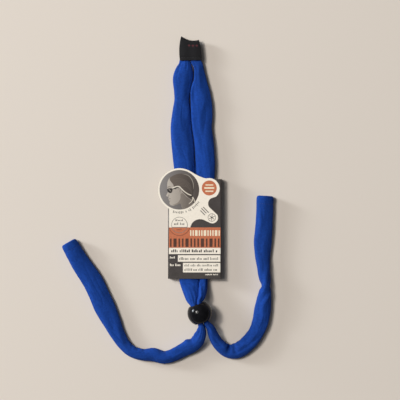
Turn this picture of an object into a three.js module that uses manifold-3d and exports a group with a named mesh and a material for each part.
// Eyewear retainer strap: two knitted cotton tubes joined in a folded woven label, a ball
// bead that slides on both of them, and a printed paperboard sleeve around the upper run.
// Millimetres. +Z is up, the strap lies on z = 0, and its label end points along +Y.

import * as THREE from 'three';
import { mergeVertices } from 'three/addons/utils/BufferGeometryUtils.js';
import Module from 'manifold-3d';

const wasm = await Module();
wasm.setup();

// ---------------------------------------------------------------- driving dimensions

const sectionSides = 12;
const sectionSquareness = 4; // superellipse exponent: 2 is an ellipse, 4 is well rounded
const stepsPerRoutePoint = 2;

const sleeveDepth = 30; // how far a spectacle temple can be pushed into a tube's end
const sleeveWall = 0.75;
const hemFromMouth = 5; // where the turned-in edge is stitched down
const hemGroove = { halfLength: 0.45, depth: 0.38 };
const hemThread = { halfLength: 0.25, outside: 0.06, inside: 0.3 }; // insets from the tube

const beadDiameter = 15.3;
const beadBore = 8.6;
const beadEdgeRound = 0.5;
const beadCentre = new THREE.Vector3(19.9, -69.6, beadDiameter / 2);
const beadTurn = THREE.MathUtils.degToRad(20); // its bore leans from +Y towards -X
const beadSegments = 48;

const labelBottom = 1.1; // height of the label's underside
const labelThickness = 4.0;
const labelPanel = 0.6;
const labelFoldTop = 97.2; // where the space between its two panels ends
const threadDiameter = 0.36;
const threadClearance = 0.07;
const labelSeamY = 88;
const labelSeamEnds = [8.4, 20.0];

const board = 0.45; // paperboard thickness
const card = { left: 0.3, right: 33.2, bottom: -48.5, top: 12.9, height: 6.4 };
const pictureDisc = { x: 7.3, y: 6.3, radius: 13.3 };
const cornerLobe = { x: 25.6, y: 7.0, radius: 6.5 };
const shoulder = { discAngle: 58, lobeAngle: 105, x: 20.6, y: 13.6 }; // the neck between them

// Each tube's route, from inside the label to its open end: the centre's x, y and z,
// then the tube's width and its thickness there. Both pass through the bead near y = -70.
const leftRoute = [
  [10.6, 96.0, 3.1, 5.9, 2.2],
  [10.6, 86.4, 3.1, 5.9, 2.2],
  [10.8, 83.6, 3.1, 8.0, 3.4],
  [10.2, 79.4, 3.1, 11.2, 4.4],
  [9.2, 74.4, 3.1, 11.8, 4.6],
  [8.9, 68.2, 3.1, 10.2, 4.6],
  [8.7, 62.0, 3.1, 8.9, 4.6],
  [8.5, 54.6, 3.1, 11.4, 4.6],
  [8.2, 44.6, 3.1, 12.3, 4.6],
  [8.9, 34.7, 3.1, 13.2, 4.6],
  [9.8, 24.8, 3.1, 12.8, 4.6],
  [10.7, 12.4, 3.1, 12.2, 4.6],
  [11.6, -7.0, 3.1, 11.4, 4.6],
  [12.5, -27.0, 3.1, 10.8, 4.6],
  [13.0, -42.0, 3.1, 11.6, 4.6],
  [13.2, -49.6, 3.3, 12.0, 4.8],
  [13.6, -56.4, 5.0, 10.6, 5.2],
  [14.7, -61.2, 7.0, 5.0, 5.4],
  [15.7, -63.5, 7.65, 3.3, 5.4],
  [18.2, -70.2, 7.65, 3.3, 5.4],
  [20.6, -77.0, 7.65, 3.3, 5.4],
  [21.2, -79.6, 7.0, 5.2, 5.4],
  [20.6, -83.3, 5.4, 7.0, 5.5],
  [18.2, -87.2, 4.2, 8.6, 5.6],
  [14.4, -90.3, 3.3, 8.8, 5.6],
  [10.0, -92.5, 2.9, 8.6, 5.6],
  [4.5, -95.3, 2.9, 8.2, 5.6],
  [-2.0, -97.1, 2.9, 8.0, 5.6],
  [-8.5, -95.9, 2.9, 8.0, 5.6],
  [-15.5, -95.6, 2.9, 7.2, 5.6],
  [-21.5, -93.8, 2.9, 7.2, 5.6],
  [-26.5, -89.7, 2.9, 7.4, 5.6],
  [-30.8, -83.1, 2.8, 8.8, 5.4],
  [-34.4, -75.5, 2.7, 10.8, 5.2],
  [-39.2, -65.7, 2.7, 12.8, 5.2],
  [-46.0, -50.5, 2.9, 11.6, 5.6],
  [-55.3, -36.4, 3.2, 10.8, 6.2],
  [-61.3, -26.0, 3.3, 9.8, 6.4],
];
const rightRoute = [
  [17.2, 96.0, 3.1, 5.9, 2.2],
  [17.2, 86.4, 3.1, 5.9, 2.2],
  [19.0, 83.6, 3.1, 5.4, 3.4],
  [19.8, 79.4, 3.1, 5.6, 4.4],
  [20.4, 74.4, 3.1, 6.8, 4.6],
  [20.3, 67.6, 3.1, 11.4, 4.6],
  [20.9, 59.5, 3.1, 13.2, 4.6],
  [21.3, 52.0, 3.1, 12.9, 4.6],
  [21.4, 44.6, 3.1, 11.6, 4.6],
  [22.7, 34.7, 3.1, 11.8, 4.6],
  [23.4, 24.8, 3.1, 11.6, 4.6],
  [23.3, 12.4, 3.1, 11.2, 4.6],
  [23.0, -7.0, 3.1, 10.2, 4.6],
  [22.7, -27.0, 3.1, 8.4, 4.6],
  [22.4, -42.0, 3.1, 5.8, 4.8],
  [22.3, -49.6, 3.3, 4.8, 5.0],
  [21.8, -55.8, 5.0, 4.8, 5.2],
  [19.7, -60.0, 7.0, 4.0, 5.4],
  [19.2, -62.3, 7.65, 3.3, 5.4],
  [21.6, -69.0, 7.65, 3.3, 5.4],
  [24.1, -75.8, 7.65, 3.3, 5.4],
  [26.7, -78.6, 7.0, 4.2, 5.4],
  [28.5, -82.4, 5.6, 5.0, 5.5],
  [30.5, -87.2, 4.3, 6.4, 5.6],
  [33.5, -91.0, 3.4, 7.6, 5.6],
  [37.2, -93.2, 2.9, 8.4, 5.6],
  [41.0, -93.5, 2.9, 9.4, 5.6],
  [44.8, -92.3, 2.9, 9.8, 5.6],
  [48.4, -89.6, 2.9, 9.6, 5.6],
  [51.6, -86.3, 2.9, 10.0, 5.6],
  [54.8, -81.5, 2.9, 9.6, 5.6],
  [57.1, -75.5, 2.9, 10.0, 5.6],
  [58.6, -68.0, 2.9, 10.4, 5.6],
  [59.8, -60.0, 3.0, 8.8, 5.8],
  [60.6, -52.6, 3.6, 6.3, 7.0],
  [60.0, -45.5, 3.2, 7.6, 6.2],
  [59.1, -35.3, 2.9, 9.8, 5.6],
  [58.9, -25.5, 3.0, 11.2, 5.8],
  [59.6, -12.0, 3.2, 10.2, 6.2],
  [60.4, 2.6, 3.3, 10.5, 6.4],
];

// ---------------------------------------------------------------- materials

function material(name, color, roughness, metalness = 0) {
  return new THREE.MeshStandardMaterial({ name, color, roughness, metalness });
}

const blueKnit = material('blue_knit', 0x1c3f8c, 0.95);
const blackWeave = material('black_weave', 0x232326, 0.85);
const blackThread = material('black_thread', 0x18181a, 0.7);
const blueThread = material('blue_thread', 0x16357a, 0.8);
const blackPlastic = material('black_plastic', 0x0a0a0c, 0.12);
const printedBoard = material('printed_board', 0x3c3635, 0.55);

// ---------------------------------------------------------------- joining and cutting

function toSolid(geometry) {
  const bare = geometry.index ? geometry.toNonIndexed() : geometry.clone();
  bare.deleteAttribute('normal');
  bare.deleteAttribute('uv');
  const merged = mergeVertices(bare, 1e-4);
  return new wasm.Manifold(new wasm.Mesh({
    numProp: 3,
    vertProperties: new Float32Array(merged.attributes.position.array),
    triVerts: new Uint32Array(merged.index.array),
  }));
}

function toGeometry(solid) {
  const mesh = solid.getMesh();
  const geometry = new THREE.BufferGeometry();
  geometry.setAttribute('position', new THREE.BufferAttribute(mesh.vertProperties, 3));
  geometry.setIndex(new THREE.BufferAttribute(mesh.triVerts, 1));
  geometry.computeVertexNormals();
  return geometry;
}

function boxBetween(low, high) {
  const size = high.map((value, axis) => value - low[axis]);
  const middle = high.map((value, axis) => (value + low[axis]) / 2);
  return toSolid(new THREE.BoxGeometry(...size).translate(...middle));
}

function plate(shape, bottom, thickness) {
  const options = { depth: thickness, bevelEnabled: false, curveSegments: 24 };
  return toSolid(new THREE.ExtrudeGeometry(shape, options).translate(0, 0, bottom));
}

// ---------------------------------------------------------------- knitted tubes

/** A superellipse one unit wide and one unit thick. */
function sectionShape() {
  const power = 2 / sectionSquareness;
  const reach = Math.cos(Math.PI / sectionSides) ** power;
  const along = (value) => (Math.sign(value) * Math.abs(value) ** power) / (2 * reach);
  const corners = [];
  for (let side = 0; side < sectionSides; side++) {
    const angle = ((side + 0.5) * 2 * Math.PI) / sectionSides;
    corners.push(new THREE.Vector2(along(Math.cos(angle)), along(Math.sin(angle))));
  }
  return new THREE.Shape(corners);
}

/** A route's centre line, with its width and thickness at any parameter from 0 to 1. */
class TubeRoute {
  constructor(rows) {
    this.rows = rows;
    this.curve = new THREE.CatmullRomCurve3(rows.map(([x, y, z]) => new THREE.Vector3(x, y, z)));
    this.curve.arcLengthDivisions = 2000;
    this.length = this.curve.getLength();
  }

  /** The parameter of the point that lies this far from the open end. */
  fromMouth(distance) {
    return this.curve.getUtoTmapping(1 - distance / this.length);
  }

  sizeAt(t) {
    const place = t * (this.rows.length - 1);
    const before = Math.min(Math.floor(place), this.rows.length - 2);
    const [from, to] = [this.rows[before], this.rows[before + 1]];
    const size = (column) => THREE.MathUtils.lerp(from[column], to[column], place - before);
    return { width: size(3), thickness: size(4) };
  }

  /** Moves a point of the unit section to its place, beside and above the centre line. */
  place(corner, t, inset, beyond = 0) {
    const tangent = this.curve.getTangent(t);
    const side = new THREE.Vector3(-tangent.y, tangent.x, 0).normalize();
    const up = new THREE.Vector3().crossVectors(tangent, side);
    const { width, thickness } = this.sizeAt(t);
    return this.curve.getPoint(t)
      .addScaledVector(tangent, beyond)
      .addScaledVector(side, corner.x * (width - 2 * inset))
      .addScaledVector(up, corner.y * (thickness - 2 * inset));
  }
}

/** A stretch of tube: the section is extruded straight, then bent along its route. */
function stretch(route, { from = 0, to = 1, inset = 0, beyond = 0 }) {
  const points = (to - from) * (route.rows.length - 1);
  const steps = Math.max(2, Math.round(points * stepsPerRoutePoint));
  const options = { depth: 1, steps, bevelEnabled: false };
  const geometry = new THREE.ExtrudeGeometry(sectionShape(), options);
  const position = geometry.attributes.position;
  for (let i = 0; i < position.count; i++) {
    const corner = new THREE.Vector2(position.getX(i), position.getY(i));
    const step = Math.round(position.getZ(i) * steps);
    const t = THREE.MathUtils.lerp(from, to, step / steps);
    const past = step === steps ? beyond : 0;
    const moved = route.place(corner, t, inset, past);
    position.setXYZ(i, moved.x, moved.y, moved.z);
  }
  return toSolid(geometry);
}

/** A short collar around the hem, between two insets from the tube's surface. */
function hemCollar(route, halfLength, outside, inside) {
  const from = route.fromMouth(hemFromMouth + halfLength);
  const to = route.fromMouth(hemFromMouth - halfLength);
  const outer = stretch(route, { from, to, inset: outside });
  const reach = 0.001;
  const inner = stretch(route, { from: from - reach, to: to + reach, inset: inside });
  return outer.subtract(inner);
}

/** One knitted tube, with the open sleeve at its end and the groove that the hem pulls in. */
function knittedTube(route) {
  const cavity = stretch(route, {
    from: route.fromMouth(sleeveDepth),
    inset: sleeveWall,
    beyond: 1,
  });
  const groove = hemCollar(route, hemGroove.halfLength, -1, hemGroove.depth);
  return toGeometry(stretch(route, {}).subtract(cavity).subtract(groove));
}

function hemStitching(route) {
  return toGeometry(hemCollar(route, hemThread.halfLength, hemThread.outside, hemThread.inside));
}

// ---------------------------------------------------------------- folded label

/** The woven label is folded over both tubes' ends, and its top edge curls inwards. */
function foldedLabel() {
  const outline = new THREE.Shape();
  outline.moveTo(7.6, 86.0);
  outline.lineTo(21.0, 86.2);
  outline.lineTo(20.6, 91.8);
  outline.lineTo(19.4, 99.0);
  outline.quadraticCurveTo(14.5, 97.4, 8.4, 101.2);
  outline.lineTo(7.1, 93.0);
  outline.closePath();
  const whole = plate(outline, labelBottom, labelThickness);
  const inside = boxBetween(
    [0, 80, labelBottom + labelPanel],
    [30, labelFoldTop, labelBottom + labelThickness - labelPanel],
  );
  return toGeometry(whole.subtract(inside));
}

/** A row of stitching across the label, lying on one of its faces. */
function labelStitching(z) {
  const [start, end] = labelSeamEnds.map((x) => new THREE.Vector3(x, labelSeamY, z));
  const circle = new THREE.Shape();
  circle.absarc(0, 0, threadDiameter / 2, 0, 2 * Math.PI);
  return new THREE.ExtrudeGeometry(circle, {
    extrudePath: new THREE.LineCurve3(start, end),
    curveSegments: 8,
    steps: 1,
    bevelEnabled: false,
  });
}

// ---------------------------------------------------------------- slider bead

/** A ball with a round bore through it and softly rounded bore edges. */
function sliderBead() {
  const radius = beadDiameter / 2;
  const bore = beadBore / 2;
  const roundCentre = bore + beadEdgeRound;
  const roundHeight = Math.sqrt((radius - beadEdgeRound) ** 2 - roundCentre ** 2);
  const meets = Math.atan2(roundHeight, roundCentre); // where the ball runs into the round
  const profile = [];
  const arc = (x, y, r, from, to, steps) => {
    for (let step = 0; step <= steps; step++) {
      const angle = THREE.MathUtils.lerp(from, to, step / steps);
      profile.push(new THREE.Vector2(x + r * Math.cos(angle), y + r * Math.sin(angle)));
    }
  };
  arc(0, 0, radius, -meets, meets, 16);
  arc(roundCentre, roundHeight, beadEdgeRound, meets, Math.PI, 4);
  arc(roundCentre, -roundHeight, beadEdgeRound, Math.PI, 2 * Math.PI - meets, 4);
  const unique = profile.filter((p, i) => i === 0 || p.distanceTo(profile[i - 1]) > 1e-4);
  unique[unique.length - 1] = unique[0].clone();
  const turned = new THREE.LatheGeometry(unique, beadSegments);
  return turned.rotateZ(beadTurn).translate(...beadCentre.toArray());
}

// ---------------------------------------------------------------- card sleeve

/** The front panel's outline: a rectangle with a picture disc and a small lobe at its top. */
function cardFrontOutline() {
  const { left, right, bottom, top } = card;
  const lobeStart = Math.asin((top - cornerLobe.y) / cornerLobe.radius);
  const lobeEnd = THREE.MathUtils.degToRad(shoulder.lobeAngle);
  const discStart = THREE.MathUtils.degToRad(shoulder.discAngle);
  const discEnd = 2 * Math.PI - Math.acos((left - pictureDisc.x) / pictureDisc.radius);
  const discJoin = {
    x: pictureDisc.x + pictureDisc.radius * Math.cos(discStart),
    y: pictureDisc.y + pictureDisc.radius * Math.sin(discStart),
  };
  const outline = new THREE.Shape();
  outline.moveTo(left, bottom);
  outline.lineTo(right, bottom);
  outline.lineTo(right, top);
  outline.absarc(cornerLobe.x, cornerLobe.y, cornerLobe.radius, lobeStart, lobeEnd, false);
  outline.quadraticCurveTo(shoulder.x, shoulder.y, discJoin.x, discJoin.y);
  outline.absarc(pictureDisc.x, pictureDisc.y, pictureDisc.radius, discStart, discEnd, false);
  outline.closePath();
  return outline;
}

/** One sheet of board, folded round both runs of the strap and glued at its left edge. */
function cardSleeve() {
  const { left, right, bottom, top, height } = card;
  const outside = boxBetween([left, bottom, 0], [right, top, height]);
  const past = 1;
  const inside = boxBetween(
    [left + board, bottom - past, board],
    [right - board, top + past, height - board],
  );
  const front = plate(cardFrontOutline(), height - board, board);
  return toGeometry(outside.subtract(inside).add(front));
}

// ---------------------------------------------------------------- assembly

const retainer = new THREE.Group();

function addPart(name, geometry, partMaterial) {
  const mesh = new THREE.Mesh(geometry, partMaterial);
  mesh.name = name;
  retainer.add(mesh);
}

for (const [side, rows] of [['left', leftRoute], ['right', rightRoute]]) {
  const route = new TubeRoute(rows);
  addPart(`${side}_strap`, knittedTube(route), blueKnit);
  addPart(`${side}_hem_stitching`, hemStitching(route), blueThread);
}

const threadOffset = threadDiameter / 2 + threadClearance;
addPart('fold_label', foldedLabel(), blackWeave);
addPart(
  'label_front_stitching',
  labelStitching(labelBottom + labelThickness + threadOffset),
  blackThread,
);
addPart('label_back_stitching', labelStitching(labelBottom - threadOffset), blackThread);
addPart('slider_bead', sliderBead(), blackPlastic);
addPart('card_sleeve', cardSleeve(), printedBoard);

export default retainer;
